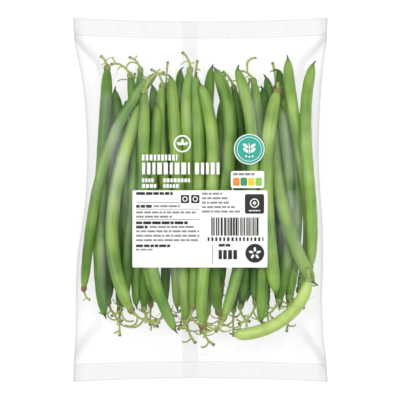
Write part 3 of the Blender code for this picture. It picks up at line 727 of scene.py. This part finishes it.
def make_bean(top_models, foot_models, node, tone_and_shade, draw, materials):
    """One bean: a copy of a straight one, fitted to the solid's length and width and bent along it."""
    centres, radii = bean_line(node)
    twiggy = node in TWIGGY_TOPS or (centres[0][1] < 0 and node not in BARE_FEET)
    model = draw.choice(foot_models if twiggy else top_models)
    stations = np.concatenate([[0.0], np.cumsum(np.linalg.norm(np.diff(centres, axis=0), axis=1))])
    mesh = model.data.copy()
    bean = bpy.data.objects.new(node.replace("bean", "fine_bean"), mesh)
    bpy.context.scene.collection.objects.link(bean)
    places = vertex_places(bean)
    straight = places + np.array([draw.uniform(0, MOST_PATTERN_SHIFT), 0, 0])
    along = places[:, 0] / places[:, 0].max()
    places[:, 0] = np.interp(places[:, 0], model_stations(), stations)
    places[:, 1:] *= radii.max() / MODEL_RADIUS
    roll = draw.uniform(-MOST_ROLL, MOST_ROLL) + draw.choice((0, math.pi))
    turned = places[:, 1] * math.cos(roll) - places[:, 2] * math.sin(roll)
    places[:, 2] = places[:, 1] * math.sin(roll) + places[:, 2] * math.cos(roll)
    places[:, 1] = turned
    mesh.vertices.foreach_set("co", places.ravel())
    lay_attribute(bean, "straight_place", straight)
    lay_attribute(bean, "along", along)
    # The bean's tone, partly painted shade for beans low in the pile, with a small random spread.
    lay_attribute(bean, "tone_and_shade", np.full(len(along), tone_and_shade + draw.uniform(-TONE_SPREAD, TONE_SPREAD)))
    for material in materials:
        mesh.materials.append(material)
    line = middle_line(centres)
    bend = bean.modifiers.new("bend", "CURVE")
    bend.object = line
    bend.deform_axis = "POS_X"
    apply_modifiers(bean)
    bpy.data.objects.remove(line)
    places = vertex_places(bean)
    lowest = np.maximum(back_at(share_across(places), places[:, 1]), 0.0) + CLEAR_OF_BACK
    places[:, 2] = np.maximum(places[:, 2], lowest)
    mesh.vertices.foreach_set("co", places.ravel())
    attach(bean, BODY)
    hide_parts(node)
    return bean


def vertex_places(piece):
    """The places of a piece's vertices, one row each."""
    places = np.empty(len(piece.data.vertices) * 3)
    piece.data.vertices.foreach_get("co", places)
    return places.reshape(-1, 3)


def lay_attribute(piece, name, values):
    """A number or a place for every vertex, for the piece's materials to read."""
    kind, field = ("FLOAT", "value") if values.ndim == 1 else ("FLOAT_VECTOR", "vector")
    piece.data.attributes.new(name, kind, "POINT").data.foreach_set(field, values.ravel())


def assign_parts(bean):
    """The straight bean's faces: 0 pod, 1 cap, 2 stalk."""
    for face in bean.data.polygons:
        place = face.center.x
        face.material_index = 0 if place > CAP_FACES_END else 1 if place > CAP_FACES_START else 2


def make_beans():
    """Every bean, in the order of their names."""
    mottle = mottle_group()
    materials = (pod_material(mottle), cap_material(mottle), stalk_material(mottle))
    shapes = TOP_SHAPES + FOOT_SHAPES
    models = [straight_bean(f"straight_bean_{k + 1}", *shape) for k, shape in enumerate(shapes)]
    for model in models:
        assign_parts(model)
    top_models, foot_models = models[:len(TOP_SHAPES)], models[len(TOP_SHAPES):]
    draw = random.Random(3)
    beans = []
    for node in sorted(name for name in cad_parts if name.startswith("bean_")):
        tone_and_shade = BEAN_TONES_AND_SHADE.get(node.removeprefix("bean_"), BACK_TONE_AND_SHADE)
        beans.append(make_bean(top_models, foot_models, node, tone_and_shade, draw, materials))
    for model in models:
        bpy.data.objects.remove(model)
    return beans


# The film.

FILM_COLUMNS = 116
SEAL_ROWS, BODY_ROWS = 22, 138
FILM_GAP = 0.3 * MM  # over a bean
FILM_CELL = 0.6 * MM  # about half of the distance between two of the film's vertices
SEAL_HALF, SOLID_WALL = 0.25 * MM, 0.6 * MM
DROP_HEIGHT = 100 * MM
RIB_HEIGHT = 0.16 * MM
CREASE_DEPTH = 2.2 * MM
DRAPE_ROUNDS = 260


def fold_at(y):
    """The left and right side folds' distances from the middle line, as a smooth outline."""
    heights = np.array([row[0] for row in SIDE_FOLDS]) * MM
    left = smooth_through(y, heights, np.array([row[1] for row in SIDE_FOLDS]) * MM)
    right = smooth_through(y, heights, np.array([row[2] for row in SIDE_FOLDS]) * MM)
    return left, right


def opening_at(y):
    """How far the bag has opened at a distance from its seals, from 0 at a seal to 1."""
    share = np.clip((SEAL_START - np.abs(y)) / RAMP, 0.0, 1.0)
    return (1 - (1 - share) ** 2) ** 0.75


def film_places():
    """x, y before the ends are curved, and the share across, of every vertex of a film face's grid."""
    even = np.linspace(-1, 1, FILM_COLUMNS + 1)
    across = 0.55 * even + 0.45 * np.sin(even * math.pi / 2)
    end = BAG_LENGTH / 2 - END_CURVE
    seal = np.linspace(SEAL_START, end, SEAL_ROWS + 1)
    body = np.linspace(-SEAL_START, SEAL_START, BODY_ROWS + 1)
    rows = np.concatenate([-seal[::-1], body[1:-1], seal])
    left, right = fold_at(rows * (BAG_LENGTH / 2) / end)
    x = np.where(across < 0, across * left[:, None], across * right[:, None])
    return x, np.repeat(rows[:, None], FILM_COLUMNS + 1, axis=1), np.repeat(across[None], len(rows), axis=0)


def share_across(places):
    """How far across the bag places lie, from -1 at its left side fold to 1 at its right."""
    left, right = fold_at(places[:, 1])
    return np.clip(places[:, 0] / np.where(places[:, 0] < 0, left, right), -1, 1)


def back_at(across, y):
    """The height of the film's back between the seals, but for its seam."""
    opened = opening_at(y)
    edge = SEAL_HEIGHT + (EDGE_HEIGHT - SEAL_HEIGHT) * opened
    lowest = SEAL_HEIGHT * (1 - opened) - FLAT_SINK * opened
    return edge + (lowest - edge) * (1 - np.abs(across) ** UNDERSIDE_ROUNDNESS) ** (1 / UNDERSIDE_ROUNDNESS)


def curve_ends(x, y):
    """y drawn out towards the bag's corners."""
    return y + np.sign(y) * END_CURVE * (x / (BAG_WIDTH / 2)) ** 2 * (y / (BAG_LENGTH / 2 - END_CURVE)) ** 2


def landing_heights(tree, x, y):
    """The height at which something dropped at each place lands on a shape, 0 where it misses it."""
    heights = np.zeros_like(x)
    for index in np.ndindex(x.shape):
        hit = tree.ray_cast(Vector((x[index], y[index], DROP_HEIGHT)), Vector((0, 0, -1)))
        heights[index] = hit[0].z if hit[0] else 0.0
    return heights


def bean_tops(x, y, beans):
    """What the film has to clear over each place and just beside it, 0 where there is no bean."""
    points, faces = [], []
    for bean in beans:
        faces += [[k + len(points) for k in face.vertices] for face in bean.data.polygons]
        points += [vert.co for vert in bean.data.vertices]
    tree = BVHTree.FromPolygons(points, faces)
    tops = np.zeros_like(x)
    for side_x, side_y in ((0, 0), (-1, 0), (1, 0), (0, -1), (0, 1)):
        landed = landing_heights(tree, x + side_x * FILM_CELL, y + side_y * FILM_CELL)
        tops = np.maximum(tops, np.where(landed > 0, landed + FILM_GAP, 0.0))
    return tops


def fine_tops(rows, shares, beans):
    """What the film has to clear over stalks, twigs and tails, which are finer than its grid."""
    tops = np.zeros((len(rows), len(shares)))
    for bean in beans:
        along = np.empty(len(bean.data.vertices))
        bean.data.attributes["along"].data.foreach_get("value", along)
        places = vertex_places(bean)[(along < STALK_SHARE) | (along > TAIL_SHARE)]
        before_curve = 2 * places[:, 1] - curve_ends(places[:, 0], places[:, 1])
        row, column = np.searchsorted(rows, before_curve), np.searchsorted(shares, share_across(places))
        for corner in ((0, 0), (0, 1), (1, 0), (1, 1)):
            np.maximum.at(tops, (row - corner[0], column - corner[1]), places[:, 2] + FILM_GAP)
    return tops


def drape(front, floor, rounds):
    """Draws the front film taut: each place goes to the middle of its neighbours, but not below floor."""
    for _ in range(rounds):
        level = (front[1:-1, :-2] + front[1:-1, 2:] + front[:-2, 1:-1] + front[2:, 1:-1]) / 4
        front[1:-1, 1:-1] = np.maximum(floor[1:-1, 1:-1], level)
    return front


def dents_at(x, y):
    """How deep the creases are at each place, from 0 to 1."""
    deepest = np.zeros_like(x)
    for start, end, left_width, right_width, strength, fading in CREASES:
        start, end = np.array(pixel_place(*start)), np.array(pixel_place(*end))
        run = end - start
        share = np.clip(((x - start[0]) * run[0] + (y - start[1]) * run[1]) / (run @ run), 0, 1)
        apart = np.hypot(x - start[0] - share * run[0], y - start[1] - share * run[1])
        on_left = run[0] * (y - start[1]) - run[1] * (x - start[0]) > 0
        width = np.where(on_left, left_width, right_width) * PIXEL
        deepest = np.maximum(deepest, strength * (1 - share * fading) * np.exp(-((apart / width) ** 2)))
    return deepest


def make_film(beans, material):
    """The film: a front and a back in one skin, joined along both side folds and both ends."""
    x, y, across = film_places()
    bent_y = curve_ends(x, y)
    opened = opening_at(y)
    sealed = np.abs(y) > SEAL_START - 0.01 * MM
    into_seal = np.clip((np.abs(y) - SEAL_START) / SEAL_LENGTH, 0.0, 1.0)
    seal_middle = SEAL_HEIGHT - SEAL_DROOP * into_seal
    edge = np.where(sealed, seal_middle, SEAL_HEIGHT + (EDGE_HEIGHT - SEAL_HEIGHT) * opened)
    arch = (1 - np.abs(across) ** TOP_ROUNDNESS) ** (1 / TOP_ROUNDNESS)
    least = edge + (SEAL_HEIGHT + (LEAST_DEPTH - SEAL_HEIGHT) * opened - edge) * arch * 0.9
    tops = np.maximum(bean_tops(x, bent_y, beans), fine_tops(y[:, 0], across[0], beans))
    least = np.maximum(least, tops)
    least[sealed] = (seal_middle + SEAL_HALF)[sealed]
    solid = BVHTree.FromObject(bpy.data.objects["film_bag"], bpy.context.evaluated_depsgraph_get())
    front = np.maximum(least, landing_heights(solid, x, bent_y) - SOLID_WALL)
    front[sealed] = least[sealed]
    front[:, [0, -1]] = edge[:, [0, -1]]
    body = slice(SEAL_ROWS, -SEAL_ROWS)
    front[body] = drape(front[body].copy(), least[body], DRAPE_ROUNDS)
    dented = np.maximum(front - CREASE_DEPTH * dents_at(x, bent_y), np.maximum(tops, edge))
    front[body] = np.minimum(front, dented)[body]
    back = back_at(across, y)
    back[sealed] = (seal_middle - SEAL_HALF)[sealed]
    in_seam = (x > SEAM_LEFT) & (x < SEAM_RIGHT)
    back = np.maximum(back - SEAM_STEP * in_seam, 0.0)
    ribs = RIB_HEIGHT * np.sin(2 * math.pi * np.abs(y) / RIB_PITCH) * (into_seal > 0.08) * (into_seal < 0.94)
    front, back = front + ribs, back + ribs
    back[:, [0, -1]] = front[:, [0, -1]] = edge[:, [0, -1]]
    back[[0, -1]] = front[[0, -1]] = (front[[0, -1]] + back[[0, -1]]) / 2
    film = skin("clear_film", x, bent_y, front, back)
    lay_attribute(film, "film_place", np.tile(np.stack([x, y, across], axis=2).reshape(-1, 3), (2, 1)))
    lay_attribute(film, "back", np.repeat([0.0, 1.0], x.size))
    close_rims(film)
    film.data.materials.append(material)
    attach(film, BODY)
    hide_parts("film_bag")
    return film


def skin(name, x, y, front, back):
    """Two grid primitives laid out as the front and the back, joined in one object."""
    rows, columns = x.shape
    sheets = []
    for heights in (front, back):
        bpy.ops.mesh.primitive_grid_add(x_subdivisions=columns - 1, y_subdivisions=rows - 1, size=1)
        sheet = bpy.context.object
        places = np.stack([x, y, heights], axis=2)
        sheet.data.vertices.foreach_set("co", places.astype(np.float32).ravel())
        sheets.append(sheet)
    activate(sheets[0])
    sheets[1].select_set(True)
    bpy.ops.object.join()
    sheets[0].name = name
    return sheets[0]


def close_rims(film):
    """Merges the rims of front and back, and turns every face outwards."""
    activate(film)
    bpy.ops.object.mode_set(mode="EDIT")
    bpy.ops.mesh.select_all(action="SELECT")
    bpy.ops.mesh.remove_doubles(threshold=0.002 * MM)
    bpy.ops.mesh.normals_make_consistent(inside=False)
    bpy.ops.object.mode_set(mode="OBJECT")
    bpy.ops.object.shade_smooth()


# The print on the film's front. Places are in the photograph's pixels: left, top, right, bottom.

PRINT_STEP = 1.3 * MM  # marks are cut this finely, to bend with the film
PRINT_THICKNESS = 0.06 * MM
FIRST_INK, SECOND_INK, THIRD_INK = 0.12 * MM, 0.24 * MM, 0.36 * MM  # each ink's height over the film

ROUND_MARK, ROUND_MARK_RADIUS = (182.5, 144.0), 8.6
SMALL_HEADING = (142.5, 154.8, 177.5, 160.8)
HEADLINE_WORDS = ((142.5, 162.8, 190.0, 174.6), (195.0, 162.8, 221.5, 174.6))
COLUMN_ROWS = ((142.5, 178.6, 155.5, 182.4), (163.5, 178.6, 190.0, 182.4),
               (142.5, 184.2, 158.8, 188.0), (163.5, 184.2, 180.0, 188.0))
BADGE, BADGE_RADIUS = (249.0, 149.6), 14.8
TAG = (230.6, 171.2, 263.8, 188.2)
TAG_HEADING = (233.0, 173.2, 254.0, 175.6)
CHIPS = (232.4, 177.8, 262.0, 186.0)
PANEL = (132.9, 190.4, 267.0, 267.0)
BLACK_SQUARES = ((181.0, 195.0, 189.2, 203.2), (191.2, 195.0, 199.4, 203.2))
BLACK_SIGN = (244.6, 194.2, 263.6, 213.6)
BARCODE = (211.2, 217.4, 259.4, 235.4)
BARCODE_FEET = (207.5, 237.0, 263.0, 240.8)
RULES = ((136.6, 202.4, 179.0, 202.9), (136.6, 208.9, 199.6, 209.4), (136.6, 219.0, 199.6, 219.5),
         (212.3, 244.0, 212.8, 263.0))
BOLD_ROWS = ((136.6, 192.2, 173.0, 195.0), (136.6, 204.9, 152.0, 207.7), (136.6, 221.3, 188.5, 224.1),
             (136.6, 225.5, 148.0, 228.3), (136.6, 244.2, 170.4, 246.8), (218.4, 243.6, 231.4, 246.2))
TEXT_ROWS = ((154.0, 205.0, 180.0, 207.5), (136.6, 211.2, 196.0, 213.7), (136.6, 215.4, 174.0, 217.9),
             (150.0, 225.6, 195.0, 228.1), (136.6, 229.9, 199.2, 232.4), (136.6, 234.3, 199.4, 236.8),
             (136.6, 238.7, 198.6, 241.2), (136.6, 248.2, 153.0, 250.4), (202.0, 192.6, 222.0, 195.1),
             (202.0, 197.1, 228.0, 199.6), (202.0, 201.5, 230.6, 204.0), (202.0, 205.9, 234.4, 208.4),
             (202.0, 210.3, 239.6, 212.8))
WEIGHT_ROW = (218.4, 249.6, 237.0, 258.8)
BLACK_LEAF, BLACK_LEAF_RADIUS = (254.4, 252.8), 9.4


def start_print(name):
    """An empty piece, left open in edit mode for marks to be drawn in it."""
    piece = bpy.data.objects.new(name, bpy.data.meshes.new(name))
    bpy.context.scene.collection.objects.link(piece)
    activate(piece)
    bpy.ops.object.mode_set(mode="EDIT")
    return piece


def box_mark(left, top, right, bottom, corner=0.0):
    """A flat rectangle, with its corners rounded if corner is given."""
    x, y = pixel_place((left + right) / 2, (top + bottom) / 2)
    bpy.ops.mesh.primitive_plane_add(size=PIXEL, location=(x, y, 0))
    bpy.ops.transform.resize(value=(right - left, bottom - top, 1), center_override=(x, y, 0))
    if corner:
        bpy.ops.mesh.bevel(offset=corner * PIXEL, segments=4, affect="VERTICES")


def disc_mark(centre, radius, sides=40):
    """A flat disc."""
    place = (*pixel_place(*centre), 0)
    bpy.ops.mesh.primitive_circle_add(
        vertices=sides, radius=radius * PIXEL, fill_type="NGON", location=place
    )


def ring_mark(centre, radius, width, sides=48):
    """A flat ring, as wide as given inwards from its radius."""
    disc_mark(centre, radius, sides)
    bpy.ops.mesh.inset(thickness=width * PIXEL)
    bpy.ops.mesh.delete(type="FACE")


def petal_mark(centre, length, width, turn):
    """A pointed oval, its length turned from the picture's right by turn degrees."""
    x, y = pixel_place(*centre)
    bpy.ops.mesh.primitive_circle_add(vertices=16, radius=0.5 * PIXEL, fill_type="NGON", location=(x, y, 0))
    bpy.ops.transform.resize(value=(length, width, 1), center_override=(x, y, 0))
    angle = -math.radians(turn)
    bpy.ops.transform.rotate(value=angle, orient_axis="Z", center_override=(x, y, 0))


def word_marks(row, draw, shortest, longest, gap, corner=0.0):
    """Blocks of drawn lengths that fill a row, as words or letters do from a step away."""
    left, top, right, bottom = row
    while left < right - shortest * 0.6:
        end = min(left + draw.uniform(shortest, longest), right)
        box_mark(left, top, end, bottom, corner)
        left = end + gap


def finish_print(piece, film, lift, material):
    """Cuts the drawn marks into small faces, lays them on the film's front and gives them thickness."""
    bpy.ops.object.mode_set(mode="OBJECT")
    corners = np.array([vert.co[:2] for vert in piece.data.vertices])
    low, high = corners.min(axis=0), corners.max(axis=0)
    bpy.ops.object.mode_set(mode="EDIT")
    for axis, normal in enumerate(((1, 0, 0), (0, 1, 0))):
        for line in range(math.ceil(low[axis] / PRINT_STEP), math.ceil(high[axis] / PRINT_STEP)):
            bpy.ops.mesh.select_all(action="SELECT")
            bpy.ops.mesh.bisect(plane_co=Vector(normal) * line * PRINT_STEP, plane_no=normal)
    bpy.ops.object.mode_set(mode="OBJECT")
    piece.location.z = 2 * CAD_BOX[1][2]
    settle_place(piece)
    wrap = piece.modifiers.new("lay", "SHRINKWRAP")
    wrap.target = film
    wrap.wrap_method, wrap.wrap_mode = "PROJECT", "ABOVE_SURFACE"
    wrap.use_project_z, wrap.use_negative_direction, wrap.use_positive_direction = True, True, False
    wrap.offset = lift
    wall = piece.modifiers.new("wall", "SOLIDIFY")
    wall.thickness = PRINT_THICKNESS
    wall.offset = 1.0
    piece.data.materials.append(material)
    apply_modifiers(piece)
    bpy.ops.object.shade_smooth_by_angle(angle=math.radians(40))
    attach(piece, BODY)


def make_white_print(film, ink):
    """White marks straight on the film: a round mark, two headings, two columns, a tag and the panel."""
    draw = random.Random(11)
    piece = start_print("white_print")
    ring_mark(ROUND_MARK, ROUND_MARK_RADIUS, 1.5)
    x, y = ROUND_MARK
    for turn in (20, 90, 160):
        angle = math.radians(turn)
        reach = 3.2
        petal_mark((x + reach * math.cos(angle), y - reach * math.sin(angle) + 1.2), 5.6, 2.8, turn)
    word_marks(SMALL_HEADING, draw, 1.8, 3.0, 1.3, 0.3)
    for word in HEADLINE_WORDS:
        word_marks(word, draw, 2.8, 4.8, 1.9, 0.7)
    for row in COLUMN_ROWS:
        word_marks(row, draw, 2.0, 3.0, 0.9, 0.2)
    box_mark(*TAG, 2.2)
    box_mark(*PANEL, 1.4)
    finish_print(piece, film, FIRST_INK, ink)


def make_badge(film, teal, white):
    """A teal disc with a white ring and a sprig of four leaves over three dots."""
    disc = start_print("teal_badge")
    disc_mark(BADGE, BADGE_RADIUS, 64)
    finish_print(disc, film, FIRST_INK, teal)
    sprig = start_print("badge_sprig")
    x, y = BADGE
    ring_mark(BADGE, BADGE_RADIUS + 0.4, 0.9, 64)
    ring_mark(BADGE, BADGE_RADIUS - 2.6, 0.5, 64)
    box_mark(x - 0.35, y - 6.0, x + 0.35, y + 4.6)
    for side in (-1, 1):
        petal_mark((x + side * 3.6, y - 3.4), 6.4, 3.0, 90 - side * 50)
        petal_mark((x + side * 3.6, y + 1.0), 6.4, 3.0, 90 - side * 50)
        disc_mark((x + side * 3.2, y + 7.0), 0.9, 16)
    disc_mark((x, y + 7.6), 0.9, 16)
    finish_print(sprig, film, SECOND_INK, white)


def make_chips(film, inks, grey):
    """Four equal coloured chips under a grey bar, on the white tag."""
    heading = start_print("tag_heading")
    word_marks(TAG_HEADING, random.Random(5), 3.0, 6.0, 0.8)
    finish_print(heading, film, SECOND_INK, grey)
    left, top, right, bottom = CHIPS
    pitch = (right - left) / len(inks)
    for k, ink in enumerate(inks):
        chip = start_print(f"tag_chip_{k + 1}")
        box_mark(left + k * pitch + 0.4, top, left + (k + 1) * pitch - 0.4, bottom, 1.6)
        finish_print(chip, film, SECOND_INK, ink)


def make_panel_print(film, black, grey, white):
    """What is on the white panel: rows, rules, a made-up bar code and three black marks."""
    draw = random.Random(17)
    rows = start_print("panel_text")
    for left, top, right, bottom in TEXT_ROWS:
        word_marks((left, top + 0.2, right, bottom - 0.3), draw, 2.2, 8.5, 1.0)
    finish_print(rows, film, SECOND_INK, grey)
    marks = start_print("panel_marks")
    for row in BOLD_ROWS:
        word_marks(row, draw, 3.0, 9.0, 0.9)
    for row in RULES:
        box_mark(*row)
    word_marks(WEIGHT_ROW, draw, 3.2, 4.2, 1.3, 0.8)
    word_marks(BARCODE_FEET, draw, 1.6, 2.4, 1.9)
    left, top, right, bottom = BARCODE
    module = (right - left) / 72
    while left < right - 3 * module:
        end = left + draw.choice((1, 2, 2, 3)) * module
        box_mark(left, top, end, bottom)
        left = end + draw.choice((1, 1, 2, 1)) * module
    for square in BLACK_SQUARES:
        box_mark(*square, 0.9)
    box_mark(*BLACK_SIGN, 1.8)
    disc_mark(BLACK_LEAF, BLACK_LEAF_RADIUS)
    finish_print(marks, film, SECOND_INK, black)
    cuts = start_print("panel_mark_shapes")
    for left, top, right, bottom in BLACK_SQUARES:
        ring_mark(((left + right) / 2, (top + bottom) / 2), 2.6, 0.9, 24)
    left, top, right, bottom = BLACK_SIGN
    x, y = (left + right) / 2, (top + bottom) / 2
    ring_mark((x, y - 0.8), 4.6, 1.1, 32)
    disc_mark((x, y - 0.8), 1.7, 20)
    word_marks((left + 4.0, bottom - 3.6, right - 4.0, bottom - 2.4), draw, 2.0, 3.0, 0.7)
    x, y = BLACK_LEAF
    for k in range(5):
        angle = math.radians(90 + 72 * k)
        petal_mark((x + 3.9 * math.cos(angle), y - 3.9 * math.sin(angle)), 4.6, 2.4, 90 + 72 * k)
    finish_print(cuts, film, THIRD_INK, white)


def make_print(film):
    """All of the print, each ink on its own pieces."""
    white = ink_material("white_ink", (0.85, 0.86, 0.83))
    black = ink_material("black_ink", (0.012, 0.012, 0.012))
    grey = ink_material("text_ink", (0.22, 0.22, 0.22))
    teal = ink_material("teal_ink", (0.004, 0.34, 0.26))
    chip_colours = ((0.80, 0.22, 0.02), (0.02, 0.26, 0.09), (0.85, 0.55, 0.01), (0.25, 0.52, 0.06))
    chips = [ink_material(f"chip_ink_{k + 1}", colour) for k, colour in enumerate(chip_colours)]
    make_white_print(film, white)
    make_badge(film, teal, white)
    make_chips(film, chips, grey)
    make_panel_print(film, black, grey, white)


# Floor, light and camera.

FLOOR_GREY, FLOOR_ROUGHNESS, FLOOR_GLOW, STUDIO_LIGHT = 0.32, 0.9, 0.74, 0.16
# Each soft box's place and sides in metres, its power in watts, and whether glossy things mirror it.
SOFT_BOXES = (
    ("overhead", (0.05, 0.12, 1.2), (0.8, 0.8), 9.0, False),
    ("left_box", (-0.75, 0.15, 0.95), (0.30, 1.2), 6.0, True),
    ("right_box", (0.85, 0.05, 0.9), (0.25, 1.2), 4.0, True),
)
CAMERA_HEIGHT, FRAMED_HEIGHT = 2.6, 0.02  # the photograph's scale holds at the second height
SENSOR = 36.0


def make_stage():
    """A white floor that glows faintly, as a light table does, under soft boxes above and at both sides."""
    bpy.ops.mesh.primitive_plane_add(size=6.0, location=(0, 0, -0.1 * MM))
    floor = bpy.context.object
    floor.name = "pale_floor"
    material, tree, shader = new_material("pale_floor")
    feed_all(tree, shader, {"Base Color": [FLOOR_GREY] * 3, "Roughness": FLOOR_ROUGHNESS})
    feed_all(tree, shader, {"Emission Color": (1, 1, 1), "Emission Strength": FLOOR_GLOW})
    floor.data.materials.append(material)
    world = bpy.data.worlds.new("studio")
    bpy.context.scene.world = world
    world.use_nodes = True
    background = world.node_tree.nodes["Background"]
    feed_all(world.node_tree, background, {"Color": (1, 1, 1), "Strength": STUDIO_LIGHT})
    for box in SOFT_BOXES:
        add_light(*box)


def add_light(name, place, sides, power, mirrored):
    """A soft box turned towards the part."""
    bpy.ops.object.light_add(type="AREA", location=place)
    light = bpy.context.object
    light.name = name
    light.data.shape = "RECTANGLE"
    light.data.size, light.data.size_y = sides
    light.data.energy = power
    light.visible_glossy = mirrored
    light.rotation_euler = (-Vector(place)).to_track_quat("-Z", "Y").to_euler()


def make_camera():
    """Straight above, framed as the photograph is: its side is 400 pixels of the part's scale."""
    data = bpy.data.cameras.new("camera")
    camera = bpy.data.objects.new("camera", data)
    bpy.context.scene.collection.objects.link(camera)
    x, y = pixel_place(IMAGE_SIDE / 2, IMAGE_SIDE / 2)
    camera.location = (x, y, CAMERA_HEIGHT)
    data.sensor_width = SENSOR
    data.lens = SENSOR * (CAMERA_HEIGHT - FRAMED_HEIGHT) / (IMAGE_SIDE * PIXEL)
    bpy.context.scene.camera = camera
    bpy.context.scene.view_settings.view_transform = "Standard"


def main():
    make_camera()
    deselect_all()
    beans = make_beans()
    film = make_film(beans, film_material())
    make_print(film)
    make_stage()


main()
